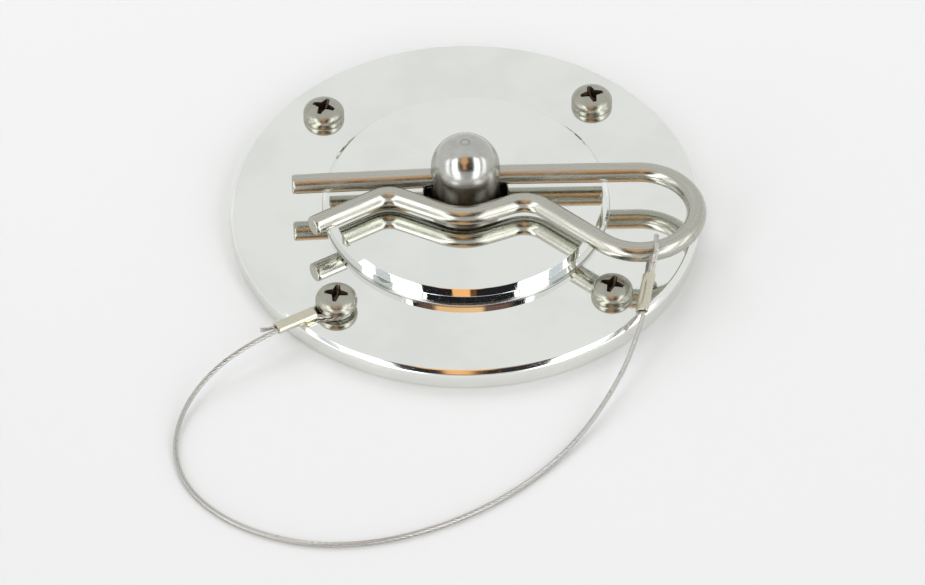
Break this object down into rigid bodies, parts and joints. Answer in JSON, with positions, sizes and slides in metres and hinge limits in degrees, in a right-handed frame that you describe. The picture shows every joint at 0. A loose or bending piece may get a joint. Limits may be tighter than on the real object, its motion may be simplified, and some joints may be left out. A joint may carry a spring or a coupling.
{
  "type": "hold-down pin latch",
  "caption": "Round polished plate with a domed pin through its raised centre, locked by a wavy hairpin clip on a wire lanyard, for holding down a hatch, hood or cover.",
  "frame": {"origin": "centre of the plate's back face, where the hood, hatch or cover is", "axes": "+Z along the pin, out of the cover towards the domed tip; +X along the clip's straight leg, the way the clip pulls out; +Y away from the lanyard's side"},
  "size_m": [0.0871, 0.1092, 0.0885],
  "materials": {
    "polished_plate": "mirror polished, with a few faint hairline scratches",
    "screw_steel": "passivated stainless, satin",
    "pin_steel": "turned stainless, half bright, with a centre mark at the tip",
    "nut_steel": "plain stainless",
    "spring_wire": "drawn stainless spring wire, bright",
    "wire_rope": "stranded stainless wire rope",
    "crimp_sleeve": "thin nickel over brass, crimped"
  },
  "bodies": {
    "plate": {"scuff_plate": "polished_plate", "screw_front_left": "screw_steel", "screw_front_right": "screw_steel", "screw_rear_left": "screw_steel", "screw_rear_right": "screw_steel", "screw_eye_loop": "wire_rope", "screw_sleeve": "crimp_sleeve", "screw_tail": "wire_rope", "lanyard_cable": "wire_rope"},
    "pin": {"hold_down_pin": "pin_steel", "upper_jam_nut": "nut_steel", "upper_lock_washer": "nut_steel", "upper_flat_washer": "nut_steel", "lower_flat_washer": "nut_steel", "lower_lock_washer": "nut_steel", "lower_jam_nut": "nut_steel"},
    "clip": {"hairpin_clip": "spring_wire", "clip_eye_loop": "wire_rope", "clip_sleeve": "crimp_sleeve", "clip_tail": "wire_rope"},
    "clip_arm": {"hairpin_arm": "spring_wire"}
  },
  "joints": [
    {"name": "pin_play", "type": "slide", "parent": "plate", "child": "pin", "axis": [0, 0, 1], "range_m": [-0.00098, 0]},
    {"name": "clip_pull", "type": "slide", "parent": "pin", "child": "clip", "axis": [1, 0, 0], "range_m": [0, 0.034]},
    {"name": "arm_spread", "type": "hinge", "parent": "clip", "child": "clip_arm", "pos_m": [0.02569, -0.01815, 0.0088], "axis": [0, 0, 1], "range_deg": [0, 16.7]}
  ],
  "couplings": [
    {"joint": "arm_spread", "follows": "clip_pull", "rad_per_m": 8.4}
  ]
}
